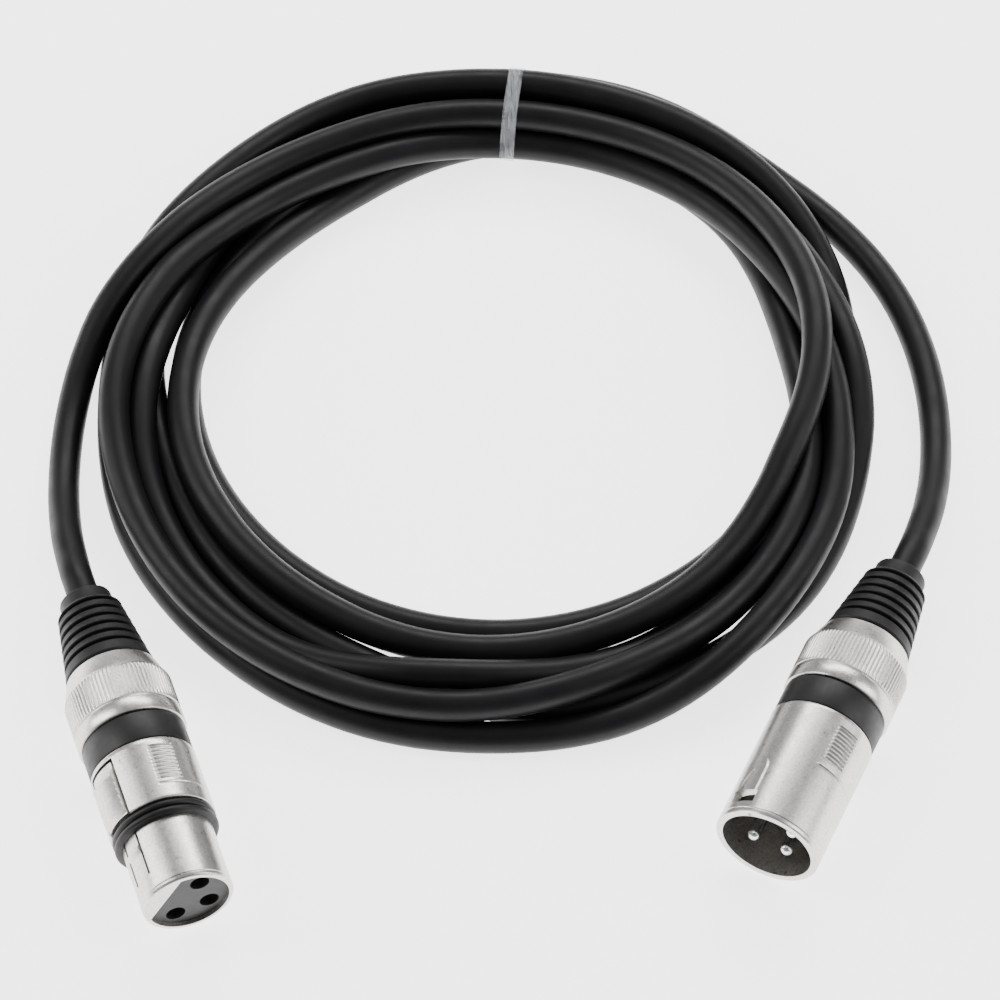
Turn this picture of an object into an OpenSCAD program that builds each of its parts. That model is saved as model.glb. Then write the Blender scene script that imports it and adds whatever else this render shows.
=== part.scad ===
// A microphone cable wound into a coil and tied at the top, with a female and a male
// three-pole connector on its two ends, lying on a table. Millimetres, +Z up.
// The connectors point towards -Y. The origin is on the table, under the middle of the object.

/* [Cable] */
// Diameter of the cable's jacket
cable_d = 5.8; // [5.6:0.1:6]
// Radius of the coil's outer edge
coil_outer_r = 71.5; // [70:0.5:71.5]
// Radius of the hole in the coil
coil_inner_r = 54.5; // [50:0.5:58]
// Height of the coil above the table
coil_top = 14.5; // [12:0.5:16]

/* [Tie] */
// Inner radius of the strap where it grips the bundle of turns
tie_r = 9.2; // [9.1:0.1:9.6]
// Width of the strap
tie_w = 2.8; // [2:0.2:4]
// Thickness of the strap
tie_t = 0.5; // [0.4:0.1:0.5]

/* [Connectors] */
// Diameter of the metal shells
shell_d = 19; // [18.8:0.1:19.2]
// Diameter of the female connector's nose
nose_d = 16.2; // [16:0.1:16.2]
// Diameter of the socket in the male connector
socket_d = 16.4; // [16.3:0.1:16.6]
// Diameter of a contact pin
pin_d = 2.4; // [2.3:0.05:2.4]
// Distance of the three contacts from the axis
contact_r = 4.4; // [4.3:0.1:4.5]
// Length of the rubber boot outside the nut
boot_l = 17; // [16.5:0.5:17]
// Number of ribs on the boot
boot_ribs = 6; // [4:1:6]
// Number of grooves round the nut
knurl_n = 60; // [40:2:60]

/* [Latch] */
// Width of the latch's thumb plate
thumb_w = 6.6; // [5:0.2:6.6]
// Width of the latch's arm
arm_w = 4; // [3:0.2:4]

/* [Places] */
// Turn of the female connector about the vertical, in degrees
female_yaw = 18.4; // [16:0.2:20]
// Turn of the male connector about the vertical, in degrees
male_yaw = -24.4; // [-26:0.2:-22]
// Turn of the female connector about its own axis, in degrees
female_roll = 58; // [40:1:70]
// Turn of the male connector about its own axis, in degrees
male_roll = 38; // [30:1:60]

/* [Hidden] */
$fn = 48;
eps = 0.01;
cable_r = cable_d / 2;
shell_r = shell_d / 2;
nose_r = nose_d / 2;
socket_r = socket_d / 2;
pin_r = pin_d / 2;

// Stations along a connector's axis, from the tip of its boot towards its face.
gap = 0.2;
nut_back = boot_l + gap;
cone_end = 21.4;
knurl_end = 28.2;
nut_front = 31.6;
ring_back = 31.7;
shell_back = 37.6;
stub_back = 22.2;
chuck_front = 32.4;
jacket_end = 33;
cup_back = 38;
insert_back = 42;
groove_back = 50.4;
groove_front = 53.4;
female_face = 66.1;
land_back = 62.1;
socket_back = 48;
socket_front = 63.2;
male_face = 62.8;
male_wall_back = 43;
male_wall_front = 47;

// Radii shared by both connectors.
stub_r = 8;
stub_bore_r = 6.9;
nut_bore_r = 8.08;
nut_r = shell_r + 0.3;
neck_r = 6;
flange_r = 7;
boot_bore_r = cable_r + 0.3;
boot_tip_r = 4.75;
boot_back_r = 5.95;
boot_end_r = 8.1;
chuck_r = 6.5;
insert_r = 7.2;
cup_r = 1.7;
cup_bore_r = 1.45;
shank_r = 1.5;
land_y = 4.6;

// The latch turns on a pin near its back end.
pivot_y = 7.6;
pivot_z = 40.2;
pivot_r = 0.8;
thumb_back = 39.2;

// Where each boot's tip lies, and the way each connector points.
female_tip = [-74, -31.8, nut_r];
male_tip = [71.8, -26.2, nut_r];
female_dir = [sin(female_yaw), -cos(female_yaw), 0];
male_dir = [sin(male_yaw), -cos(male_yaw), 0];

// The coil: its outer edge and its hole have their own centres.
coil_centre = [-2, 18.5];
hole_centre = [0, 21.5];
coil_bottom = 0.8;
coil_edge_r = 5;
tie_centre = [3.5, 84.3, tie_r + tie_t];

// Contacts: the third lies opposite the latch.
CONTACT_ANGLES_FEMALE = [0, 180, -90];
CONTACT_ANGLES_MALE = [180, 0, -90];

// Routes of the two tails, from the stripped end inside the connector to the coil.
STRAIGHT = [jacket_end, 14, 0, -9];
female_route = concat([for (s = STRAIGHT) female_tip + s * female_dir], [
    [-79, -12, 6.6], [-79.8, 1, 3.8], [-79.6, 11, 3], [-78, 22, 3], [-75.5, 32, 3]]);
male_route = concat([for (s = STRAIGHT) male_tip + s * male_dir], [
    [78.6, -6, 6.6], [80.2, 8, 3.8], [80, 19, 3], [78.2, 31, 3], [74.2, 44, 3], [67, 56, 3],
    [57, 66.5, 3]]);

// A point on a smooth curve through p1 and p2, at t between 0 and 1.
function curve_point(p0, p1, p2, p3, t) =
    0.5 * (2 * p1 + (p2 - p0) * t + (2 * p0 - 5 * p1 + 4 * p2 - p3) * t * t
    + (3 * p1 - p0 - 3 * p2 + p3) * t * t * t);

// Points along a route: its own points and the ones halfway between them.
function smooth_route(route) = let (last = len(route) - 1) concat(
    [for (i = [0 : last - 1], t = [0, 0.5])
        curve_point(route[max(i - 1, 0)], route[i], route[i + 1], route[min(i + 2, last)], t)],
    [route[last]]);

function unit(v) = v / norm(v);

// A closed tube of radius r that follows the points of a path which is nowhere vertical.
module tube(path, r, sides) {
    last = len(path) - 1;
    rings = [for (i = [0 : last])
        let (along = unit(path[min(i + 1, last)] - path[max(i - 1, 0)]),
            side = unit(cross(along, [0, 0, 1])),
            up = cross(side, along))
        for (k = [0 : sides - 1])
            path[i] + r * (cos(360 * k / sides) * side + sin(360 * k / sides) * up)];
    walls = [for (i = [0 : last - 1], k = [0 : sides - 1])
        [i * sides + k, i * sides + (k + 1) % sides,
            (i + 1) * sides + (k + 1) % sides, (i + 1) * sides + k]];
    caps = [[for (k = [sides - 1 : -1 : 0]) k], [for (k = [0 : sides - 1]) last * sides + k]];
    polyhedron(points = rings, faces = concat(walls, caps));
}

// Places a connector's piece, drawn along +Z from the boot's tip, in the object's frame.
module place(tip, yaw, roll) {
    translate(tip) rotate([90, 0, yaw]) rotate([0, 0, roll]) children();
}
module at_female() { place(female_tip, female_yaw, female_roll) children(); }
module at_male() { place(male_tip, male_yaw, male_roll) children(); }

// A cylinder from station z0 to station z1 on the connector's axis.
module span(r, z0, z1) {
    translate([0, 0, z0]) cylinder(r = r, h = z1 - z0);
}

// A tube between two stations.
module sleeve(r_out, r_in, z0, z1) {
    difference() {
        span(r_out, z0, z1);
        span(r_in, z0 - 1, z1 + 1);
    }
}

// Places a contact's piece at its angle round the axis.
module at_contact(angle) {
    translate([contact_r * cos(angle), contact_r * sin(angle), 0]) children();
}

// ---- Cable ----

// The wound turns as one ring, pressed in where the tie grips it.
module cable_coil() {
    flat_r = coil_outer_r - coil_edge_r;
    color("#1c1c1e") difference() {
        translate([coil_centre[0], coil_centre[1], 0]) rotate_extrude($fn = 96) {
            translate([0, coil_bottom]) square([flat_r, coil_top - coil_bottom]);
            translate([0, coil_bottom + coil_edge_r])
                square([coil_outer_r, coil_top - coil_bottom - 2 * coil_edge_r]);
            translate([flat_r, coil_bottom + coil_edge_r]) circle(r = coil_edge_r);
            translate([flat_r, coil_top - coil_edge_r]) circle(r = coil_edge_r);
        }
        translate([hole_centre[0], hole_centre[1], -1])
            cylinder(r = coil_inner_r, h = coil_top + 2, $fn = 96);
        difference() {
            translate([tie_centre[0] - tie_w, tie_centre[1] - 20, -1])
                cube([2 * tie_w, 40, coil_top + 4]);
            translate(tie_centre - [2 * tie_w, 0, 0]) rotate([0, 90, 0])
                cylinder(r = tie_r - gap, h = 4 * tie_w);
        }
    }
}

module cable_tail_female() {
    color("#1c1c1e") tube(smooth_route(female_route), cable_r, 10);
}

module cable_tail_male() {
    color("#1c1c1e") tube(smooth_route(male_route), cable_r, 10);
}

// A strap round the bundle, with its lock and its cut end on the outer side.
module cable_tie() {
    lock = [3.6, 1.8, 4];
    color("#e4e8ea", 0.6) translate(tie_centre) {
        difference() {
            rotate([0, 90, 0])
                cylinder(r = tie_r + tie_t, h = tie_w, center = true);
            rotate([0, 90, 0]) cylinder(r = tie_r, h = 2 * tie_w, center = true);
        }
        translate([-lock[0] / 2, tie_r + tie_t / 2, -lock[2] / 2]) cube(lock);
    }
}

// ---- Pieces that both connectors have ----

// A ribbed boot with a neck and a flange that the nut holds.
module boot() {
    collar = 2.4;
    first = 3.6;
    pitch = 2.05;
    width = 0.7;
    depth = 0.9;
    function taper(z) = boot_back_r + (boot_end_r - boot_back_r) * (z - first) / (boot_l - first);
    grooves = [for (i = [0 : boot_ribs - 1]) let (z0 = first + i * pitch, z1 = z0 + width)
        each [[taper(z0), z0 - 0.15], [taper(z0) - depth, z0],
            [taper(z1) - depth, z1], [taper(z1), z1 + 0.15]]];
    color("#161617") rotate_extrude() polygon(concat(
        [[boot_bore_r, 0], [boot_tip_r - 0.4, 0], [boot_tip_r, 0.4], [boot_tip_r, collar]],
        grooves,
        [[boot_end_r, boot_l], [neck_r, boot_l], [neck_r, 20], [flange_r, 20],
            [flange_r, 21.2], [boot_bore_r, 21.2]]));
}

// A clamping nut with a fine grip and a plain ring at its front.
module nut() {
    notch = 0.5;
    color("#8d8780") difference() {
        rotate_extrude() polygon([[neck_r + 0.3, nut_back], [boot_end_r, nut_back],
            [nut_r, cone_end], [nut_r, knurl_end], [nut_r - 0.4, knurl_end + 0.2],
            [nut_r - 0.4, knurl_end + 0.5], [nut_r, knurl_end + 0.7], [nut_r, nut_front],
            [nut_bore_r, nut_front], [nut_bore_r, 19.8], [neck_r + 0.3, 19.8]]);
        for (k = [0 : knurl_n - 1]) rotate([0, 0, 360 * k / knurl_n])
            translate([nut_r, 0, cone_end]) rotate([0, 0, 45])
                translate([-notch / 2, -notch / 2, 0.4])
                    cube([notch, notch, knurl_end - cone_end - 0.8]);
    }
}

// A plastic ring that marks the cable.
module coding_ring() {
    color("#111112") rotate_extrude() polygon([[stub_r + 0.1, ring_back],
        [shell_r - 0.4, ring_back], [shell_r - 0.1, ring_back + 0.3],
        [shell_r - 0.1, shell_back - 0.4], [shell_r - 0.4, shell_back - 0.1],
        [stub_r + 0.1, shell_back - 0.1]]);
}

// A slotted collet that the nut presses onto the jacket.
module chuck() {
    slot_w = 1;
    color("#d9d6cc") difference() {
        span(chuck_r, stub_back, chuck_front);
        span(cable_r + 0.05, stub_back - 1, chuck_front + 1);
        for (a = [0, 90]) rotate([0, 0, a])
            translate([-2 * chuck_r, -slot_w / 2, stub_back - 1])
                cube([4 * chuck_r, slot_w, 8]);
    }
}

// An open ring that joins the shell to the shield.
module ground_spring() {
    color("#b9b3a0") rotate([0, 0, 120]) rotate_extrude(angle = 300)
        translate([6.35, 39.2]) square([0.5, 2]);
}

// A wire from the end of the jacket to a solder cup.
module core_wire(angle, r, start_r) {
    to = contact_r * [cos(angle), sin(angle)];
    from = start_r * [cos(angle), sin(angle)];
    heights = [jacket_end, 34.2, 35.6, 37, 38.4, 39.8];
    shares = [0, 0.1, 0.45, 0.85, 1, 1];
    points = [for (i = [0 : 5]) let (p = from + shares[i] * (to - from)) [p[0], p[1], heights[i]]];
    wire(points, r);
}

// A closed tube of eight sides along points that rise steadily in +Z.
module wire(points, r) {
    sides = 8;
    last = len(points) - 1;
    rings = [for (p = points, k = [0 : sides - 1])
        p + r * [cos(45 * k), sin(45 * k), 0]];
    walls = [for (i = [0 : last - 1], k = [0 : sides - 1])
        [i * sides + k, (i + 1) * sides + k,
            (i + 1) * sides + (k + 1) % sides, i * sides + (k + 1) % sides]];
    caps = [[for (k = [0 : sides - 1]) k], [for (k = [sides - 1 : -1 : 0]) last * sides + k]];
    polyhedron(points = rings, faces = concat(walls, caps));
}

module red_core(angle) { color("#a32020") core_wire(angle, 0.8, 1.1); }
module white_core(angle) { color("#e6e6e0") core_wire(angle, 0.8, 1.1); }
module shield_wire(angle) { color("#b87a4b") core_wire(angle, 0.6, 1.3); }

// ---- Female connector ----

// A shell with a stub for the nut, a body, a groove for the seal and a plain nose.
module female_shell() {
    color("#8d8780") at_female() difference() {
        rotate_extrude() polygon([[0, stub_back], [stub_r, stub_back], [stub_r, shell_back],
            [shell_r - 0.3, shell_back], [shell_r, shell_back + 0.3],
            [shell_r, groove_back - 0.3], [shell_r - 0.3, groove_back],
            [nose_r, groove_back], [nose_r, female_face - 0.5],
            [nose_r - 0.5, female_face], [0, female_face]]);
        span(stub_bore_r, stub_back - 1, insert_back);
        span(insert_r, insert_back - eps, land_back);
        difference() {
            span(insert_r, land_back - eps, female_face + 1);
            translate([-10, land_y, land_back - 1]) cube([20, 10, 10]);
        }
        // Slot for the latch's arm, then the wider one for its thumb plate.
        translate([-arm_w / 2 - gap, land_y, shell_back])
            cube([arm_w + 2 * gap, 10, land_back - shell_back]);
        translate([-thumb_w / 2 - gap, land_y, thumb_back - 0.8])
            cube([thumb_w + 2 * gap, 10, groove_back - thumb_back + 0.8]);
        translate([-5, pivot_y, pivot_z]) rotate([0, 90, 0]) cylinder(r = pivot_r, h = 10);
    }
}

// The plastic body that holds the contacts, flat on the latch's side.
module female_insert() {
    front = female_face - 0.8;
    color("#141415") at_female() difference() {
        span(insert_r, insert_back, front);
        translate([-10, land_y - 0.1, insert_back - 1]) cube([20, 10, 30]);
        for (a = CONTACT_ANGLES_FEMALE) at_contact(a) span(cup_r + 0.02, insert_back - 1, front + 1);
    }
}

// A socket with a solder cup at its back.
module female_contact(i) {
    color("#c9c9cc") at_female() at_contact(CONTACT_ANGLES_FEMALE[i]) difference() {
        span(cup_r, cup_back, socket_front);
        span(cup_bore_r, cup_back - 1, cup_back + 3.5);
        span(pin_r + 0.02, socket_back, socket_front + 1);
    }
}

// A thumb plate, an arm that runs under the seal, and a hook just past the seal.
module female_latch() {
    thumb_front = 50.1;
    arm_top = 7.8;
    arm_front = 61.3;
    hook = [[arm_top - 0.1, 56.2], [8.6, 56.2], [8.6, 56.8], [arm_top - 0.1, 57.4]];
    color("#7f7a72") at_female() difference() {
        union() {
            intersection() {
                translate([-thumb_w / 2, 6.7, thumb_back])
                    cube([thumb_w, 4, thumb_front - thumb_back]);
                span(shell_r + 0.5, thumb_back, thumb_front);
            }
            translate([-arm_w / 2, 6.7, thumb_front - 1])
                cube([arm_w, arm_top - 6.7, arm_front - thumb_front + 1]);
            rotate([0, -90, 0]) translate([0, 0, -arm_w / 2]) linear_extrude(arm_w)
                polygon([for (p = hook) [p[1], p[0]]]);
        }
        // Grip grooves across the thumb plate.
        for (i = [0 : 4]) translate([-thumb_w, shell_r + 0.2, thumb_back + 3.6 + 1.4 * i])
            cube([2 * thumb_w, 1, 0.6]);
        translate([-5, pivot_y, pivot_z]) rotate([0, 90, 0])
            cylinder(r = pivot_r + 0.06, h = 10);
    }
}

module female_latch_pin() {
    color("#c9c9cc") at_female() translate([-4.9, pivot_y, pivot_z])
        rotate([0, 90, 0]) cylinder(r = pivot_r, h = 9.8);
}

// A leaf under the latch that returns it.
module female_latch_spring() {
    leaf = [[42.5, 6.7], [42.5, 6.45], [45, 6.45], [54, 5.75], [54, 6], [45, 6.7]];
    color("#c9c9cc") at_female() rotate([0, -90, 0]) translate([0, 0, -1.5])
        linear_extrude(3) polygon(leaf);
}

// A rubber ring with two ridges in the groove of the shell.
module female_seal_ring() {
    ridge_r = 0.62;
    color("#161617") at_female() rotate_extrude() {
        translate([nose_r + 0.05, groove_back + 0.15]) square([0.6, 2.6]);
        for (z = [0.15 + ridge_r, 2.75 - ridge_r])
            translate([nose_r + 0.65, groove_back + z]) circle(r = ridge_r, $fn = 24);
    }
}

module female_coding_ring() { at_female() coding_ring(); }
module female_chuck() { at_female() chuck(); }
module female_nut() { at_female() nut(); }
module female_boot() { at_female() boot(); }
module female_ground_spring() { at_female() ground_spring(); }
module female_shield_wire() { at_female() shield_wire(CONTACT_ANGLES_FEMALE[0]); }
module female_red_core() { at_female() red_core(CONTACT_ANGLES_FEMALE[1]); }
module female_white_core() { at_female() white_core(CONTACT_ANGLES_FEMALE[2]); }

// ---- Male connector ----

// A shell with a stub for the nut and a deep socket round the pins.
module male_shell() {
    window = [5.6, 6, 1.7];
    color("#8d8780") at_male() difference() {
        rotate_extrude() polygon([[0, stub_back], [stub_r, stub_back], [stub_r, shell_back],
            [shell_r - 0.3, shell_back], [shell_r, shell_back + 0.3],
            [shell_r, male_face - 0.4], [shell_r - 0.4, male_face], [0, male_face]]);
        span(stub_bore_r, stub_back - 1, male_wall_back);
        span(stub_r, male_wall_back - eps, male_wall_front);
        span(socket_r, male_wall_front - eps, male_face + 1);
        // Window that the latch of the mating connector snaps into.
        translate([-window[0] / 2, 6, male_face - 4.2]) cube(window);
    }
}

module male_insert() {
    color("#141415") at_male() difference() {
        span(stub_r, male_wall_back, male_wall_front);
        for (a = CONTACT_ANGLES_MALE) at_contact(a)
            span(shank_r, male_wall_back - 1, male_wall_front + 1);
    }
}

// A pin with a round tip, a thicker shank in the insert and a solder cup at its back.
module male_pin(i) {
    shoulder = 59.6;
    color("#d3d3d6") at_male() at_contact(CONTACT_ANGLES_MALE[i]) difference() {
        union() {
            span(cup_r, cup_back, male_wall_back);
            span(shank_r, male_wall_back - eps, male_wall_front);
            span(pin_r, male_wall_front - eps, shoulder);
            translate([0, 0, shoulder]) sphere(r = pin_r);
        }
        span(cup_bore_r, cup_back - 1, cup_back + 3.5);
    }
}

module male_coding_ring() { at_male() coding_ring(); }
module male_chuck() { at_male() chuck(); }
module male_nut() { at_male() nut(); }
module male_boot() { at_male() boot(); }
module male_ground_spring() { at_male() ground_spring(); }
module male_shield_wire() { at_male() shield_wire(CONTACT_ANGLES_MALE[0]); }
module male_red_core() { at_male() red_core(CONTACT_ANGLES_MALE[1]); }
module male_white_core() { at_male() white_core(CONTACT_ANGLES_MALE[2]); }

cable_coil();
cable_tail_female();
cable_tail_male();
cable_tie();
female_shell();
female_insert();
female_contact(0);  // female_contact_1
female_contact(1);  // female_contact_2
female_contact(2);  // female_contact_3
female_latch();
female_latch_pin();
female_latch_spring();
female_seal_ring();
female_coding_ring();
female_chuck();
female_nut();
female_boot();
female_ground_spring();
female_red_core();
female_white_core();
female_shield_wire();
male_shell();
male_insert();
male_pin(0);  // male_pin_1
male_pin(1);  // male_pin_2
male_pin(2);  // male_pin_3
male_coding_ring();
male_chuck();
male_nut();
male_boot();
male_ground_spring();
male_red_core();
male_white_core();
male_shield_wire();
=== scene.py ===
import math

import bpy
import numpy as np
from mathutils import Matrix, Vector


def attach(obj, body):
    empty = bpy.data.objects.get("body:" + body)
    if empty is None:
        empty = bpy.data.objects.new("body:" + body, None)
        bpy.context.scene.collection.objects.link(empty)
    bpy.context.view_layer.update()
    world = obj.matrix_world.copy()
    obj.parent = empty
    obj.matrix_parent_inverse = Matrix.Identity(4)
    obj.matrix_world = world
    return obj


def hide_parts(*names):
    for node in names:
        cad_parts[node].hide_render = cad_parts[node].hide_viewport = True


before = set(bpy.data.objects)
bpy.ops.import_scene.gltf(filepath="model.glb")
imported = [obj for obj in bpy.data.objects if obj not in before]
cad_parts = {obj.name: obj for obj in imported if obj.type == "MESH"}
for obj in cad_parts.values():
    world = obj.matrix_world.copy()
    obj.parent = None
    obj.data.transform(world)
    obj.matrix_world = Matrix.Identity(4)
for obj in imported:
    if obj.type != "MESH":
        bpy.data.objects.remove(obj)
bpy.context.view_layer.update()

# ---- Sizes ----
CABLE_D = 5.8
CABLE_R = CABLE_D / 2

SHELL_R = 9.5
NUT_R = 9.8
NOSE_R = 8.1
SOCKET_R = 8.2
FEMALE_BORE_R = 7.2
STUB_R = 8.0
STUB_BORE_R = 6.9

BOOT_L = 17.0
NUT_BACK = 17.2
CONE_END = 21.4
KNURL_END = 28.2
NUT_FRONT = 31.6
RING_BACK = 31.7
SHELL_BACK = 37.6
STUB_BACK = 22.2
JACKET_END = 33.0
GROOVE_BACK = 50.4
GROOVE_FRONT = 53.4
FEMALE_FACE = 66.1
LAND_BACK = 62.1
LAND_Y = 4.6
MALE_FACE = 62.8

# Each connector: the middle of its boot's tip, its turn about the vertical and its own axis.
FEMALE = {"tip": (-74, -31.8, NUT_R), "yaw": 18.4, "roll": 58}
MALE = {"tip": (71.8, -26.2, NUT_R), "yaw": -24.4, "roll": 38}


def mm(points):
    return np.asarray(points, float) / 1000


def direction(end):
    turn = math.radians(end["yaw"])
    return np.array([math.sin(turn), -math.cos(turn), 0])


def placing(end):
    """From a connector's own axes, +Z towards its face, to the object's frame, in mm."""
    yaw = Matrix.Rotation(math.radians(end["yaw"]), 4, "Z")
    lay = Matrix.Rotation(math.radians(90), 4, "X")
    roll = Matrix.Rotation(math.radians(end["roll"]), 4, "Z")
    return Matrix.Translation(end["tip"]) @ yaw @ lay @ roll


# ---- Camera, floor and light ----


def aimed(obj, place, target):
    obj.location = place
    obj.rotation_euler = (Vector(target) - Vector(place)).to_track_quat("-Z", "Y").to_euler()
    bpy.context.scene.collection.objects.link(obj)
    return obj


def make_camera():
    elevation, distance = math.radians(54), 0.9
    target = Vector((0, -0.0025, 0))
    back = Vector((0, -math.cos(elevation), math.sin(elevation)))
    lens = bpy.data.cameras.new("camera")
    lens.lens = 176.6
    lens.sensor_width = 36
    camera = aimed(bpy.data.objects.new("camera", lens), target + distance * back, target)
    bpy.context.scene.camera = camera


def area_light(name, place, target, size, power, tint=(1, 1, 1)):
    lamp = bpy.data.lights.new(name, "AREA")
    lamp.shape = "RECTANGLE"
    lamp.size, lamp.size_y = size
    lamp.energy = power
    lamp.color = tint
    return aimed(bpy.data.objects.new(name, lamp), place, target)


def make_stage():
    """A glowing white floor, a white room, three softboxes, and a dark card past the camera."""
    floor = new_mesh("floor", [(-3, -3, 0), (3, -3, 0), (3, 3, 0), (-3, 3, 0)], [(0, 1, 2, 3)])
    floor.data.materials.append(floor_material())
    world = bpy.data.worlds.new("studio")
    bpy.context.scene.world = world
    world.use_nodes = True
    sky = world.node_tree.nodes["Background"]
    sky.inputs["Color"].default_value = (1.0, 1.0, 1.0, 1)
    sky.inputs["Strength"].default_value = 0.42
    card = new_mesh("dark_card", [(-0.4, -0.95, 0.75), (0.4, -0.95, 0.75), (0.4, -0.55, 1.15),
                                  (-0.4, -0.55, 1.15)], [(0, 1, 2, 3)])
    card.data.materials.append(material("dark_card", (0.01, 0.01, 0.01), 0.9)[0])
    area_light("softbox_back", (0.1, 0.75, 0.75), (0, 0.05, 0), (0.9, 0.35), 9)
    area_light("softbox_left", (-0.8, 0.05, 0.55), (0, 0, 0), (0.3, 0.8), 6)
    area_light("softbox_right", (0.85, -0.1, 0.6), (0, 0, 0), (0.3, 0.8), 5)


# ---- Mesh helpers ----


def new_mesh(name, points, faces, smooth=False):
    mesh = bpy.data.meshes.new(name)
    mesh.from_pydata([tuple(p) for p in points], [], [tuple(f) for f in faces])
    mesh.validate()
    if smooth:
        mesh.shade_smooth()
        mesh.set_sharp_from_angle(angle=math.radians(32))
    obj = bpy.data.objects.new(name, mesh)
    bpy.context.scene.collection.objects.link(obj)
    return obj


def piece(name, parts, end, material, body, nodes=()):
    """One piece from several (points, faces) parts in a connector's own axes, in mm."""
    points, faces = [], []
    for part_points, part_faces in parts:
        start = len(points)
        points += [tuple(p) for p in part_points]
        faces += [tuple(start + i for i in f) for f in part_faces]
    place = placing(end)
    obj = new_mesh(name, [place @ Vector(p) / 1000 for p in points], faces, smooth=True)
    return finished(obj, material, body, nodes)


def finished(obj, material, body, nodes=()):
    obj.data.materials.clear()
    obj.data.materials.append(material)
    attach(obj, body)
    if nodes:
        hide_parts(*nodes)
    return obj


def lathe(profile, sides=128, relief=None):
    """A closed profile of (radius, z) turned about the axis; relief(angle, i) adds to radius i."""
    count = len(profile)
    points, faces = [], []
    for k in range(sides):
        angle = 2 * math.pi * k / sides
        for i, (r, z) in enumerate(profile):
            rr = r + (relief(angle, i) if relief else 0)
            points.append((rr * math.cos(angle), rr * math.sin(angle), z))
    for k in range(sides):
        a, b = k * count, (k + 1) % sides * count
        for i in range(count):
            j = (i + 1) % count
            faces.append((a + i, b + i, b + j, a + j))
    return points, faces


def ring_of(centre_r, centre_z, r, steps=16):
    """A round profile for lathe()."""
    turns = [2 * math.pi * k / steps for k in range(steps)]
    return [(centre_r + r * math.cos(t), centre_z + r * math.sin(t)) for t in turns]


def prism(outline, z0, z1):
    """A flat outline of (x, y) points, run from z0 to z1."""
    n = len(outline)
    points = [(x, y, z0) for x, y in outline] + [(x, y, z1) for x, y in outline]
    faces = [(i, (i + 1) % n, n + (i + 1) % n, n + i) for i in range(n)]
    return points, faces + [tuple(reversed(range(n))), tuple(range(n, 2 * n))]


def grid_shell(stations, angles, relief, holes):
    """A tube from stations of (z, outer radius, inner radius), with windows through its wall.

    angles are in degrees, all the way round. relief(angle, z) adds to the outer radius.
    holes are (from angle, to angle, from z, to z)."""
    rows, columns = len(stations), len(angles)
    points = []
    for z, r_out, r_in in stations:
        for a in angles:
            turn = math.radians(a)
            r = r_out + relief(a, z)
            points.append((r * math.cos(turn), r * math.sin(turn), z))
        for a in angles:
            turn = math.radians(a)
            points.append((r_in * math.cos(turn), r_in * math.sin(turn), z))

    def outer(i, k):
        return i * 2 * columns + k % columns

    def inner(i, k):
        return i * 2 * columns + columns + k % columns

    def is_open(i, k):
        if i < 0 or i > rows - 2:
            return False
        z = (stations[i][0] + stations[i + 1][0]) / 2
        low = angles[k % columns]
        high = angles[(k + 1) % columns]
        middle = (low + (high if high > low else high + 360)) / 2 % 360
        return any(a0 < middle < a1 and z0 < z < z1 for a0, a1, z0, z1 in holes)

    faces = []
    for i in range(rows - 1):
        for k in range(columns):
            if is_open(i, k):
                if not is_open(i, k - 1):
                    faces.append((outer(i, k), inner(i, k), inner(i + 1, k), outer(i + 1, k)))
                if not is_open(i, k + 1):
                    faces.append((inner(i, k + 1), outer(i, k + 1), outer(i + 1, k + 1),
                                  inner(i + 1, k + 1)))
                if not is_open(i - 1, k):
                    faces.append((inner(i, k), outer(i, k), outer(i, k + 1), inner(i, k + 1)))
                if not is_open(i + 1, k):
                    faces.append((outer(i + 1, k), inner(i + 1, k), inner(i + 1, k + 1),
                                  outer(i + 1, k + 1)))
                continue
            faces.append((outer(i, k), outer(i, k + 1), outer(i + 1, k + 1), outer(i + 1, k)))
            faces.append((inner(i, k + 1), inner(i, k), inner(i + 1, k), inner(i + 1, k + 1)))
    last = rows - 1
    for k in range(columns):
        faces.append((outer(0, k + 1), outer(0, k), inner(0, k), inner(0, k + 1)))
        faces.append((outer(last, k), outer(last, k + 1), inner(last, k + 1), inner(last, k)))
    return points, faces


def with_steps(values, step):
    """Sorted values with more between them wherever they lie further apart than step."""
    values = sorted(set(values))
    out = []
    for a, b in zip(values, values[1:]):
        parts = max(1, math.ceil((b - a) / step))
        out += [a + (b - a) * i / parts for i in range(parts)]
    return out + [values[-1]]


def bump_between(value, low, high, edge):
    """1 inside low..high, falling to 0 over edge outside it."""
    return max(0.0, min(1.0, (value - low) / edge + 1, (high - value) / edge + 1))


# ---- Materials ----


def material(name, colour, roughness, metallic=0.0):
    m = bpy.data.materials.new(name)
    m.use_nodes = True
    shader = m.node_tree.nodes["Principled BSDF"]
    shader.inputs["Base Color"].default_value = (*colour, 1)
    shader.inputs["Roughness"].default_value = roughness
    shader.inputs["Metallic"].default_value = metallic
    return m, m.node_tree, shader


def noise(tree, scale, detail=4.0, stretch=(1, 1, 1)):
    """Noise in the object's own coordinates, in metres."""
    place = tree.nodes.new("ShaderNodeTexCoord")
    mapping = tree.nodes.new("ShaderNodeMapping")
    mapping.inputs["Scale"].default_value = stretch
    texture = tree.nodes.new("ShaderNodeTexNoise")
    texture.inputs["Scale"].default_value = scale
    texture.inputs["Detail"].default_value = detail
    tree.links.new(place.outputs["Object"], mapping.inputs["Vector"])
    tree.links.new(mapping.outputs["Vector"], texture.inputs["Vector"])
    return texture


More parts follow.
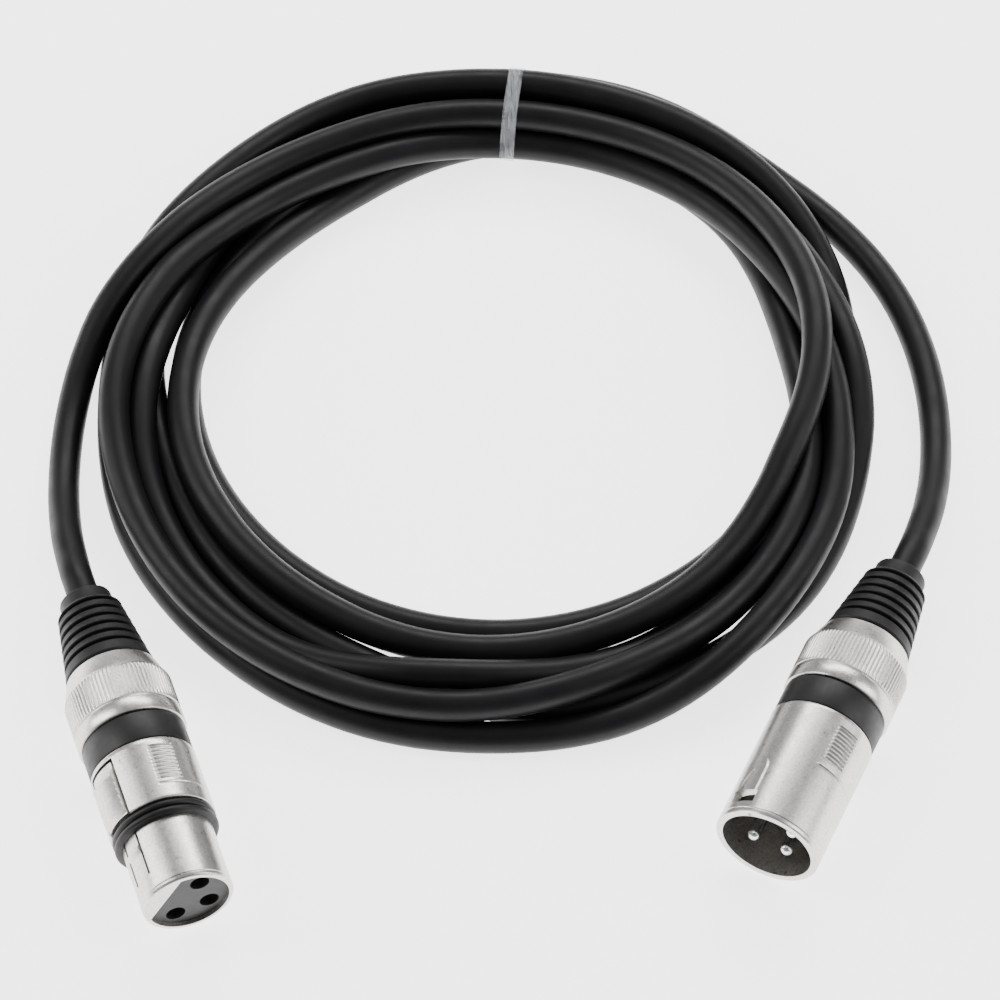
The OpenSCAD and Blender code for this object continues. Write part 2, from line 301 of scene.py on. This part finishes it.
def vary(tree, source, target, low, high):
    """Drives a socket from a noise, between low and high."""
    span = tree.nodes.new("ShaderNodeMapRange")
    span.inputs["From Min"].default_value = 0.3
    span.inputs["From Max"].default_value = 0.7
    span.inputs["To Min"].default_value = low
    span.inputs["To Max"].default_value = high
    tree.links.new(source.outputs["Fac"], span.inputs["Value"])
    tree.links.new(span.outputs["Result"], target)


def tint(tree, source, target, dark, light):
    ramp = tree.nodes.new("ShaderNodeValToRGB")
    ramp.color_ramp.elements[0].position = 0.35
    ramp.color_ramp.elements[0].color = (*dark, 1)
    ramp.color_ramp.elements[1].position = 0.65
    ramp.color_ramp.elements[1].color = (*light, 1)
    tree.links.new(source.outputs["Fac"], ramp.inputs["Fac"])
    tree.links.new(ramp.outputs["Color"], target)


def rough_surface(tree, source, shader, strength, distance):
    bump = tree.nodes.new("ShaderNodeBump")
    bump.inputs["Strength"].default_value = strength
    bump.inputs["Distance"].default_value = distance
    tree.links.new(source.outputs["Fac"], bump.inputs["Height"])
    tree.links.new(bump.outputs["Normal"], shader.inputs["Normal"])


def floor_material():
    m, tree, shader = material("floor", (0.93, 0.93, 0.93), 0.9)
    shader.inputs["Emission Color"].default_value = (1, 1, 1, 1)
    shader.inputs["Emission Strength"].default_value = 2.8
    return m


def jacket_material():
    m, tree, shader = material("cable_jacket", (0.005, 0.0046, 0.0056), 0.46)
    shader.inputs["Specular IOR Level"].default_value = 0.2
    tint(tree, noise(tree, 45, 3), shader.inputs["Base Color"],
         (0.0036, 0.0034, 0.0042), (0.0066, 0.006, 0.0074))
    vary(tree, noise(tree, 260, 5), shader.inputs["Roughness"], 0.40, 0.50)
    rough_surface(tree, noise(tree, 5200, 3), shader, 0.12, 0.00004)
    return m


def nickel_material(name="shell_metal", light=(0.66, 0.64, 0.61), rough=(0.26, 0.36)):
    dark = tuple(0.74 * c for c in light)
    m, tree, shader = material(name, light, rough[0], 1.0)
    tint(tree, noise(tree, 2600, 6), shader.inputs["Base Color"], dark, light)
    vary(tree, noise(tree, 900, 6), shader.inputs["Roughness"], rough[0], rough[1])
    rough_surface(tree, noise(tree, 5200, 2), shader, 0.35, 0.00005)
    return m


def rubber_material(name, grey, rough):
    m, tree, shader = material(name, (grey, grey, grey), rough[0])
    shader.inputs["Specular IOR Level"].default_value = 0.3
    tint(tree, noise(tree, 800, 5), shader.inputs["Base Color"],
         (grey * 0.85,) * 3, (grey * 1.2,) * 3)
    vary(tree, noise(tree, 500, 5), shader.inputs["Roughness"], *rough)
    rough_surface(tree, noise(tree, 7000, 3), shader, 0.25, 0.00005)
    return m


def strap_material():
    m, tree, shader = material("tie_strap", (0.62, 0.63, 0.67), 0.24)
    shader.inputs["Alpha"].default_value = 0.2
    shader.inputs["IOR"].default_value = 1.5
    vary(tree, noise(tree, 900, 4, (6, 1, 1)), shader.inputs["Roughness"], 0.18, 0.36)
    vary(tree, noise(tree, 700, 4, (5, 0.6, 0.6)), shader.inputs["Alpha"], 0.1, 0.36)
    rough_surface(tree, noise(tree, 1200, 3, (5, 0.6, 0.6)), shader, 0.5, 0.0001)
    return m


def plastic_material(name, colour, rough=(0.42, 0.52)):
    m, tree, shader = material(name, colour, rough[0])
    shader.inputs["Specular IOR Level"].default_value = 0.35
    dark = tuple(0.9 * c for c in colour)
    tint(tree, noise(tree, 600, 4), shader.inputs["Base Color"], dark, colour)
    vary(tree, noise(tree, 900, 4), shader.inputs["Roughness"], *rough)
    rough_surface(tree, noise(tree, 6000, 3), shader, 0.2, 0.00004)
    return m


def make_materials():
    return {
        "cable_jacket": jacket_material(),
        "tie_strap": strap_material(),
        "shell_metal": nickel_material(),
        "latch_metal": nickel_material("latch_metal", (0.70, 0.68, 0.65), (0.32, 0.42)),
        "contact_metal": nickel_material("contact_metal", (0.86, 0.86, 0.87), (0.12, 0.2)),
        "spring_steel": nickel_material("spring_steel", (0.6, 0.6, 0.6), (0.25, 0.35)),
        "insert_plastic": plastic_material("insert_plastic", (0.011, 0.011, 0.0115)),
        "seal_rubber": rubber_material("seal_rubber", 0.006, (0.38, 0.5)),
        "ring_plastic": plastic_material("ring_plastic", (0.007, 0.007, 0.0073)),
        "boot_rubber": rubber_material("boot_rubber", 0.007, (0.5, 0.62)),
        "chuck_plastic": plastic_material("chuck_plastic", (0.7, 0.68, 0.62)),
        "core_red": plastic_material("core_red", (0.36, 0.015, 0.012)),
        "core_white": plastic_material("core_white", (0.8, 0.8, 0.76)),
        "shield_copper": nickel_material("shield_copper", (0.78, 0.42, 0.24), (0.28, 0.4)),
    }


# ---- Cable ----

# The cable's straight ends, as stations along a connector's axis from the jacket's cut end.
STRAIGHT = [JACKET_END, 14, 0, -7, -10]

# The free runs between each connector and the coil, given as points.
FEMALE_ROUTE = [(-79, -12, 6.6), (-79.6, 3, 3.4), (-79, 15, 3), (-76, 28, 3.4), (-70.8, 39, 5.6)]
MALE_ROUTE = [(78.6, -6, 6.6), (80.2, 8, 3.8), (80, 19, 3), (78.2, 31, 3), (74.2, 44, 3),
              (67, 56, 3), (57, 66.5, 3)]

# Seen from above, the turns run clockwise through stations round the coil, given in
# degrees. The tie is at the fifth.
COIL_CENTRE = (-0.5, 20.0)
STATION_ANGLES = [180, 158, 135, 112, 86.4, 45, 0, -45, -90, -135]
TIE_LANE = (64.4, 9.6)
STEP = 3.0

# The cable is held this far in from each end, and these shares of a move are taken each round.
HELD_L = 41
SINK = 0.02
STIFFNESS = 0.5
SPREAD = 1.2
RECALL = 0.01
RECALL_HEIGHT = 0.3


def packed(angle):
    """A strand's place in the bundle at the tie: six round one, as (radius, height)."""
    pitch = 1.01 * CABLE_D
    turn = math.radians(angle)
    return (TIE_LANE[0] + pitch * math.cos(turn), TIE_LANE[1] + pitch * math.sin(turn))


# Each turn's (distance from the coil's centre, height above the table) at the stations. None
# leaves a station out.
TURNS = [
    [None, (69.6, 9.4), (64.9, 13.2), (61.6, 14.2), packed(130), (61.6, 13.8), (59.3, 16.4),
     (57.4, 8.4), (59.0, 8.6), (60.6, 8.5)],
    [(57.8, 8.5), None, (56.2, 6.0), None, packed(250), (59.8, 3.2), (58.0, 8.4), (64.6, 7.8),
     (72.6, 8.2), (74.6, 8.5)],
    [(68.3, 13.4), (63.6, 9.5), (60.0, 7.8), (57.8, 8.6), packed(190), (58.9, 8.6),
     (61.6, 12.6), (71.0, 8.4), (76.0, 2.9), (74.5, 2.9)],
    [(70.6, 2.9), (68.2, 2.9), (70.2, 6.0), (72.4, 10.6), packed(70), (66.6, 13.2),
     (63.0, 2.9), (61.8, 2.9), (67.2, 7.2), (68.9, 3.1)],
    [(65.3, 8.2), None, (64.8, 2.9), None, packed(310), (65.5, 2.9), (58.3, 2.9), (56.0, 2.9),
     (55.6, 2.9), (55.0, 2.9)],
    [(58.2, 2.9), None, (58.8, 2.9), None, TIE_LANE, (64.0, 8.0), (63.6, 8.0), (72.0, 2.9),
     (70.0, 2.9), (62.8, 2.9)],
    [(65.6, 2.9), None, (70.6, 2.9), None, packed(10), (72.0, 4.5)],
]


def between(p0, p1, p2, p3, t):
    """A point on a smooth curve through p1 and p2, at t from 0 to 1."""
    return 0.5 * (2 * p1 + (p2 - p0) * t + (2 * p0 - 5 * p1 + 4 * p2 - p3) * t * t
                  + (3 * p1 - p0 - 3 * p2 + p3) * t ** 3)


def smooth_through(points, parts):
    points = np.asarray(points, float)
    last = len(points) - 1
    out = []
    for i in range(last):
        near = [points[max(i - 1, 0)], points[i], points[i + 1], points[min(i + 2, last)]]
        out += [between(*near, k / parts) for k in range(parts)]
    return np.array(out + [points[-1]])


def coil_points():
    lanes = []
    for turn, row in enumerate(TURNS):
        for angle, lane in zip(STATION_ANGLES, row):
            if lane:
                lanes.append((angle - 360 * turn, *lane))
    points = []
    for angle, r, z in smooth_through(lanes, 4):
        a = math.radians(angle)
        points.append((COIL_CENTRE[0] + r * math.cos(a), COIL_CENTRE[1] + r * math.sin(a), z))
    return points


def laid_route():
    """The whole cable before it settles, from one stripped end to the other."""
    female = [np.array(FEMALE["tip"]) + s * direction(FEMALE) for s in STRAIGHT]
    male = [np.array(MALE["tip"]) + s * direction(MALE) for s in STRAIGHT]
    route = female + FEMALE_ROUTE + coil_points() + MALE_ROUTE[::-1] + male[::-1]
    dense = smooth_through(route, 12)
    steps = np.linalg.norm(np.diff(dense, axis=0), axis=1)
    run = np.concatenate([[0], np.cumsum(steps)])
    count = round(run[-1] / STEP)
    at = np.linspace(0, run[-1], count + 1)
    return np.stack([np.interp(at, run, dense[:, k]) for k in range(3)], axis=1)


def straightening(points, reach):
    """The move of each point that evens out the bend between its neighbours, reach apart."""
    move = np.zeros_like(points)
    near = points[reach:-3 * reach] + points[3 * reach:-reach]
    far = points[:-4 * reach] + points[4 * reach:]
    move[2 * reach:-2 * reach] = (4 * near - far - 6 * points[2 * reach:-2 * reach]) / 16
    return move


def settled(points, rounds=300):
    """Lets the strands push each other apart, straighten and sink onto the table."""
    points = points.copy()
    start = points.copy()
    count = len(points)
    free = np.ones((count, 1))
    held = round(HELD_L / STEP)
    free[:held] = 0
    free[-held:] = 0
    first, second = np.triu_indices(count, round(3 * CABLE_D / STEP))
    for turn in range(rounds):
        if turn % 10 == 0:
            apart = np.linalg.norm(points[first] - points[second], axis=1)
            near = apart < 1.6 * CABLE_D
            one, other = first[near], second[near]
        points[:, 2:] -= SINK * free
        for reach in (1, 3):
            points += STIFFNESS * straightening(points, reach) * free
        gap = points[one] - points[other]
        distance = np.linalg.norm(gap, axis=1)
        touching = distance < CABLE_D
        push = (0.5 * (CABLE_D - distance[touching]) / distance[touching])[:, None] * gap[touching]
        total = np.zeros_like(points)
        contacts = np.zeros((count, 1))
        np.add.at(total, one[touching], push)
        np.add.at(total, other[touching], -push)
        np.add.at(contacts, one[touching], 1)
        np.add.at(contacts, other[touching], 1)
        points += SPREAD * total / np.maximum(contacts, 1) * free
        points += RECALL * (start - points) * free * (1, 1, RECALL_HEIGHT)
        low = (free[:, 0] > 0) & (points[:, 2] < CABLE_R)
        points[low, 2] = CABLE_R
    return points


def make_cable(points, materials):
    """The jacket, as a round curve along the settled line."""
    line = mm(points)
    data = bpy.data.curves.new("cable", "CURVE")
    data.dimensions = "3D"
    data.bevel_depth = CABLE_R / 1000
    data.bevel_resolution = 8
    data.use_fill_caps = True
    spline = data.splines.new("POLY")
    spline.points.add(len(line) - 1)
    spline.points.foreach_set("co", np.hstack([line, np.ones((len(line), 1))]).ravel())
    spline.use_smooth = True
    obj = bpy.data.objects.new("cable", data)
    bpy.context.scene.collection.objects.link(obj)
    nodes = ("cable_coil", "cable_tail_female", "cable_tail_male")
    return finished(obj, materials["cable_jacket"], "root", nodes)


# ---- Tie ----

# The strap crosses the bundle at TIE_X, turned TIE_TURN degrees from square.
TIE_TURN = 7.5
TIE_X = 2.6
TIE_W = 2.8
TIE_T = 0.3
TIE_GAP = 0.05


def bundle_at_tie(points):
    """Where the strands cross the strap's plane, as (distance along the plane, height)."""
    half_span = 20
    turn = math.radians(TIE_TURN)
    normal = np.array([math.cos(turn), -math.sin(turn), 0])
    along = np.array([math.sin(turn), math.cos(turn), 0])
    middle = np.array([TIE_X, COIL_CENTRE[1] + TIE_LANE[0], 0])
    side = (points - middle) @ normal
    found = []
    for i in np.flatnonzero(side[:-1] * side[1:] <= 0):
        share = side[i] / (side[i] - side[i + 1])
        crossing = points[i] + share * (points[i + 1] - points[i])
        if abs((crossing - middle) @ along) < half_span:
            found.append(((crossing - middle) @ along, crossing[2]))
    return np.array(found), middle, along, normal


def strap_outline(strands, clearance, steps=96):
    """The line of a band pulled tight round strands, at a clearance from their centres.

    Strands that reach within about rounding of the furthest one share the band's line."""
    rounding = 0.12
    turns = np.arange(steps) * 2 * math.pi / steps
    out = []
    for t in turns:
        u = np.array([math.cos(t), math.sin(t)])
        v = np.array([-math.sin(t), math.cos(t)])
        reach = strands @ u
        soft = np.exp((reach - reach.max()) / rounding)
        held = (strands * soft[:, None]).sum(0) / soft.sum()
        out.append(held + clearance * u)
    return np.array(out)


def make_tie(points, materials):
    """A thin closed band round all the strands that cross its plane."""
    strands, middle, along, normal = bundle_at_tie(points)
    inner = strap_outline(strands, CABLE_R + TIE_GAP)
    outer = strap_outline(strands, CABLE_R + TIE_GAP + TIE_T)
    across = [(-0.5, inner), (-0.46, outer), (-0.2, outer), (0, outer), (0.2, outer),
              (0.46, outer), (0.5, inner)]
    count = len(inner)
    verts, faces = [], []
    for share, outline in across:
        for d, z in outline:
            point = middle + along * d + normal * share * TIE_W
            verts.append((point[0] / 1000, point[1] / 1000, max(z, 0.1) / 1000))
    rows = len(across)
    for i in range(rows):
        j = (i + 1) % rows
        for k in range(count):
            m = (k + 1) % count
            faces.append((i * count + k, i * count + m, j * count + m, j * count + k))
    strap = new_mesh("tie_strap", verts, faces, smooth=True)
    finished(strap, materials["tie_strap"], "root", ["cable_tie"])


# ---- Pieces that both connectors have ----


def boot_profile():
    """A tapered boot with a collar, six grooves, and the flange that the nut holds."""
    back_r, end_r, first, pitch, width, depth = 5.95, 8.1, 3.6, 2.05, 0.72, 0.85

    def taper(z):
        return back_r + (end_r - back_r) * (z - first) / (BOOT_L - first)

    outline = [(3.15, 0.25), (3.4, 0), (4.3, 0), (4.62, 0.12), (4.75, 0.45), (4.78, 2.2),
               (4.95, 2.6), (5.6, 3.1)]
    for i in range(6):
        z = first + i * pitch
        outline += [(taper(z) - 0.12, z - 0.32), (taper(z), z - 0.16), (taper(z) - 0.1, z),
                    (taper(z) - depth * 0.85, z + 0.08), (taper(z) - depth, z + 0.2),
                    (taper(z) - depth, z + width - 0.2),
                    (taper(z) - depth * 0.85, z + width - 0.08), (taper(z) - 0.06, z + width),
                    (taper(z + width), z + width + 0.16)]
    outline += [(end_r - 0.02, BOOT_L - 0.35), (end_r - 0.2, BOOT_L - 0.05), (6.0, BOOT_L),
                (6.0, 20.0), (7.0, 20.0), (7.0, 21.2), (3.15, 21.2)]
    return outline


def knurled_nut():
    """A cone, a band of fine ridges, and a plain rim."""
    ridges, depth = 80, 0.24
    profile = [(6.3, NUT_BACK), (7.9, NUT_BACK), (8.12, NUT_BACK + 0.12), (8.3, NUT_BACK + 0.4),
               (9.35, CONE_END - 0.5), (9.5, CONE_END - 0.15), (9.66, CONE_END + 0.1)]
    plain_back = len(profile)
    profile += [(NUT_R, CONE_END + 0.5)]
    profile += [(NUT_R, CONE_END + 0.5 + (KNURL_END - CONE_END - 1) * k / 6) for k in range(1, 7)]
    plain_front = len(profile)
    profile += [(NUT_R - 0.1, KNURL_END - 0.1), (NUT_R - 0.35, KNURL_END + 0.05),
                (NUT_R - 0.35, KNURL_END + 0.3), (NUT_R - 0.08, KNURL_END + 0.42),
                (NUT_R, KNURL_END + 0.6), (NUT_R, NUT_FRONT - 0.35),
                (NUT_R - 0.12, NUT_FRONT - 0.1), (NUT_R - 0.4, NUT_FRONT), (8.08, NUT_FRONT),
                (8.08, 19.8), (6.3, 19.8)]

    def relief(angle, i):
        if not plain_back <= i < plain_front:
            return 0
        return -depth * (0.5 - 0.5 * math.cos(ridges * angle)) ** 1.5

    return lathe(profile, 640, relief)


def coding_ring():
    edge = SHELL_R - 0.1
    return lathe([(8.1, RING_BACK), (edge - 0.3, RING_BACK), (edge - 0.06, RING_BACK + 0.1),
                  (edge, RING_BACK + 0.3), (edge, SHELL_BACK - 0.4),
                  (edge - 0.06, SHELL_BACK - 0.2), (edge - 0.3, SHELL_BACK - 0.1),
                  (8.1, SHELL_BACK - 0.1)])


def make_shared_pieces(name, end, materials):
    piece(f"{name}_boot_rubber", [lathe(boot_profile(), 160)], end, materials["boot_rubber"],
          f"{name}_boot", [f"{name}_boot"])
    piece(f"{name}_nut_metal", [knurled_nut()], end, materials["shell_metal"],
          f"{name}_nut", [f"{name}_nut"])
    piece(f"{name}_ring", [coding_ring()], end, materials["ring_plastic"],
          "root", [f"{name}_coding_ring"])


# ---- The stub and the relief on the shells ----


def stub_rows(inner):
    """Stations of the stub that the nut screws onto, and of the step up to the shell."""
    return [(STUB_BACK, STUB_R - 0.3, inner), (STUB_BACK + 0.3, STUB_R, inner),
            (SHELL_BACK, STUB_R, inner), (SHELL_BACK, SHELL_R - 0.35, inner),
            (SHELL_BACK + 0.08, SHELL_R - 0.12, inner), (SHELL_BACK + 0.3, SHELL_R, inner)]


def grip_patch(angle, z, left, right, z0, z1):
    """Fine ribs across the shell, in a patch between two angles and two stations."""
    pitch, depth = 0.8, 0.24
    inside = bump_between(angle, right, left, 0.8) * bump_between(z, z0, z1, 0.05)
    wave = 0.5 - 0.5 * math.cos(2 * math.pi * (z - z0) / pitch)
    return -depth * inside * (1 - wave)


def engraved(distance, width, depth):
    """A round-bottomed line, at a distance from its middle, in mm."""
    return -depth * math.exp(-(distance / width) ** 2)


def female_relief(angle, z):
    """A grip patch, and a line in front of it."""
    r = grip_patch(angle, z, 26, 2, 39.2, 46.4)
    if -45 < angle_from(angle, 0) < 27:
        r += engraved(z - 47.3, 0.16, 0.14)
    return r


def angle_from(angle, middle):
    return (angle - middle + 180) % 360 - 180


# ---- Female connector ----

# The latch's slot is this much wider than the latch on each side.
SLOT_SIDE = 0.5
THUMB_HALF = 3.1
ARM_HALF = 1.8


def half_angle(half_width, r):
    return math.degrees(math.asin(half_width / r))


def female_shell_parts():
    """The shell and nose, cut through for the latch, and the flat land across the nose."""
    thumb = half_angle(THUMB_HALF + SLOT_SIDE, SHELL_R)
    arm = half_angle(ARM_HALF + SLOT_SIDE, NOSE_R)
    holes = [(90 - thumb, 90 + thumb, 38.6, GROOVE_BACK + 0.01),
             (90 - arm, 90 + arm, GROOVE_BACK - 0.01, LAND_BACK)]
    angles = with_steps([0, 90 - thumb, 90 + thumb, 90 - arm, 90 + arm, 360], 1.5)[:-1]
    bore = FEMALE_BORE_R
    body = with_steps([38.6, 39.2, 46.6, GROOVE_BACK - 0.35], 0.1)
    rows = stub_rows(STUB_BORE_R)
    rows += [(z, SHELL_R, STUB_BORE_R) for z in body]
    rows += [(GROOVE_BACK - 0.1, SHELL_R - 0.1, STUB_BORE_R), (GROOVE_BACK, SHELL_R - 0.3, bore),
             (GROOVE_BACK + 0.001, NOSE_R, bore)]
    nose = with_steps([GROOVE_BACK + 0.1, LAND_BACK, FEMALE_FACE - 1.1], 0.8)
    rows += [(z, NOSE_R, bore) for z in nose]
    rows += [(FEMALE_FACE - 0.95, NOSE_R - 0.1, bore), (FEMALE_FACE - 0.85, NOSE_R - 0.1, bore),
             (FEMALE_FACE - 0.7, NOSE_R, bore), (FEMALE_FACE - 0.35, NOSE_R - 0.03, bore),
             (FEMALE_FACE - 0.1, NOSE_R - 0.2, bore), (FEMALE_FACE, NOSE_R - 0.42, bore)]
    shell = grid_shell(rows, angles, female_relief, holes)
    start = math.asin((LAND_Y + 0.05) / (bore + 0.3))
    arc = [start + (math.pi - 2 * start) * k / 24 for k in range(25)]
    land = [((bore + 0.3) * math.cos(t), (bore + 0.3) * math.sin(t)) for t in arc]
    return [shell, prism(land, LAND_BACK, FEMALE_FACE - 0.001)]


def latch_part():
    """The thumb plate with its grip teeth, and the arm that runs under the seal to a hook."""
    points, faces = [], []
    underside = 6.7

    def block(half, zs, top):
        """A bar along the shell: stations zs, with a round top of radius top(z)."""
        across = [half * (k / 6 - 1) for k in range(13)]
        base = len(points)
        n = len(across)
        for z in zs:
            r = top(z)
            for x in across:
                points.append((x, math.sqrt(r * r - x * x), z))
            for x in across:
                points.append((x, underside, z))
        for i in range(len(zs) - 1):
            a, b = base + i * 2 * n, base + (i + 1) * 2 * n
            for k in range(n - 1):
                faces.append((a + k + 1, a + k, b + k, b + k + 1))
                faces.append((a + n + k, a + n + k + 1, b + n + k + 1, b + n + k))
            faces.append((a, a + n, b + n, b))
            faces.append((a + 2 * n - 1, a + n - 1, b + n - 1, b + 2 * n - 1))
        end = base + (len(zs) - 1) * 2 * n
        for s, flip in ((base, False), (end, True)):
            loop = [s + k for k in range(n)] + [s + n + k for k in reversed(range(n))]
            faces.append(tuple(reversed(loop)) if flip else tuple(loop))

    plate_r, arm_r = 9.45, 8.02
    teeth_back, teeth_front, pitch, depth = 42.0, 49.0, 1.4, 0.6

    def thumb_top(z):
        lift = 0.85 * bump_between(z, 41.6, 48.6, 1.2)
        teeth = 0
        if teeth_back <= z <= teeth_front:
            teeth = -depth * ((z - teeth_back) / pitch % 1.0)
        return plate_r + lift + teeth

    def arm_top(z):
        hook = 0.45 * bump_between(z, 56.3, 56.8, 0.5)
        return arm_r + hook

    block(THUMB_HALF, with_steps([39.2, teeth_back, teeth_front, 50.1], 0.08), thumb_top)
    block(ARM_HALF, with_steps([49.4, 56.3, 57.4, LAND_BACK - 0.05], 0.25), arm_top)
    return points, faces


def seal_ring_profile():
    """Two round ridges side by side, filling the groove behind the nose."""
    z0, z1 = GROOVE_BACK + 0.1, GROOVE_FRONT - 0.1
    ridge = (z1 - z0) / 4
    outline = [(NOSE_R + 0.02, z0), (NOSE_R + 0.7, z0)]
    for centre in (z0 + ridge, z1 - ridge):
        for k in range(9):
            t = math.pi * (k / 8) - math.pi / 2
            outline.append((NOSE_R + 0.6 + 0.66 * math.cos(t), centre + ridge * 0.98 * math.sin(t)))
    outline += [(NOSE_R + 0.7, z1), (NOSE_R + 0.02, z1)]
    return outline


def make_female(materials):
    make_shared_pieces("female", FEMALE, materials)
    piece("female_shell_metal", female_shell_parts(), FEMALE, materials["shell_metal"],
          "root", ["female_shell"])
    piece("female_latch_metal", [latch_part()], FEMALE, materials["latch_metal"],
          "female_latch", ["female_latch"])
    piece("female_seal_rubber", [lathe(seal_ring_profile(), 160)], FEMALE,
          materials["seal_rubber"], "root", ["female_seal_ring"])


# ---- Male connector ----


def arch_boss(angle, z):
    """A low raised pad with a round back end, behind the window for the latch's hook."""
    middle, round_z, half, height = 96, 53, 2.6, 0.14
    across = math.radians(angle - middle) * SHELL_R
    reach = math.hypot(across, min(z - round_z, 0))
    return height * bump_between(reach, -1, half, 0.25) * bump_between(z, 45, 58, 0.3)


def slanted_mark(angle, z):
    """A short engraved stroke on the pad, from start_z, slanting by lean over its run."""
    start_angle, start_z, lean, run = 94, 53.7, 1.5, 2.6
    across = math.radians(angle - start_angle) * SHELL_R
    along = max(0.0, min(1.0, (z - start_z) / run))
    return engraved(math.hypot(across - lean * along, z - start_z - run * along), 0.2, 0.3)


def male_relief(angle, z):
    """A grip patch, a line in front of it, and the pad and stroke behind the window."""
    r = grip_patch(angle, z, 27, 3, 39.8, 47.4)
    if -45 < angle_from(angle, 0) < 30:
        r += engraved(z - 48.9, 0.18, 0.22)
    if 75 < angle < 120:
        r += arch_boss(angle, z) + slanted_mark(angle, z)
    return r


def male_shell_parts():
    """The shell with its socket, and the window that the latch's hook snaps into."""
    window = half_angle(2.8, SHELL_R)
    back, front = MALE_FACE - 4.8, MALE_FACE - 2.4
    holes = [(90 - window, 90 + window, back, front)]
    angles = [a for a in with_steps([0, 78, 90 - window], 1.5) if a < 78]
    angles += with_steps([78, 90 - window, 90 + window, 118], 0.7)
    angles += with_steps([118, 360], 1.5)[1:-1]
    rows = stub_rows(STUB_BORE_R)
    rows += [(z, SHELL_R, STUB_BORE_R) for z in with_steps([38.2, 39.6, 47.0], 0.1)]
    rows += [(z, SHELL_R, SOCKET_R) for z in with_steps([47.001, 49.6], 0.1)]
    rows += [(z, SHELL_R, SOCKET_R) for z in with_steps([49.8, back, front], 0.15)]
    rows += [(z, SHELL_R, SOCKET_R) for z in with_steps([front, MALE_FACE - 1.2], 0.4)[1:]]
    rows += [(MALE_FACE - 1.05, SHELL_R - 0.1, SOCKET_R),
             (MALE_FACE - 0.95, SHELL_R - 0.1, SOCKET_R),
             (MALE_FACE - 0.8, SHELL_R, SOCKET_R), (MALE_FACE - 0.3, SHELL_R - 0.02, SOCKET_R),
             (MALE_FACE - 0.08, SHELL_R - 0.14, SOCKET_R),
             (MALE_FACE, SHELL_R - 0.34, SOCKET_R + 0.2)]
    return [grid_shell(rows, angles, male_relief, holes)]


def make_male(materials):
    make_shared_pieces("male", MALE, materials)
    piece("male_shell_metal", male_shell_parts(), MALE, materials["shell_metal"],
          "root", ["male_shell"])


# ---- CAD pieces that are shown as they are ----

KEPT = {
    "insert_plastic": ["female_insert", "male_insert"],
    "contact_metal": ["female_contact_1", "female_contact_2", "female_contact_3", "male_pin_1",
                      "male_pin_2", "male_pin_3"],
    "spring_steel": ["female_latch_pin", "female_latch_spring", "female_ground_spring",
                     "male_ground_spring"],
    "chuck_plastic": ["female_chuck", "male_chuck"],
    "core_red": ["female_red_core", "male_red_core"],
    "core_white": ["female_white_core", "male_white_core"],
    "shield_copper": ["female_shield_wire", "male_shield_wire"],
}


def finish_kept(materials):
    for slot, names in KEPT.items():
        for name in names:
            obj = bpy.data.objects[name]
            for place in obj.material_slots:
                place.material = materials[slot]


make_camera()
materials = make_materials()
make_stage()
line = settled(laid_route())
cable = make_cable(line, materials)
make_tie(line, materials)
make_female(materials)
make_male(materials)
finish_kept(materials)
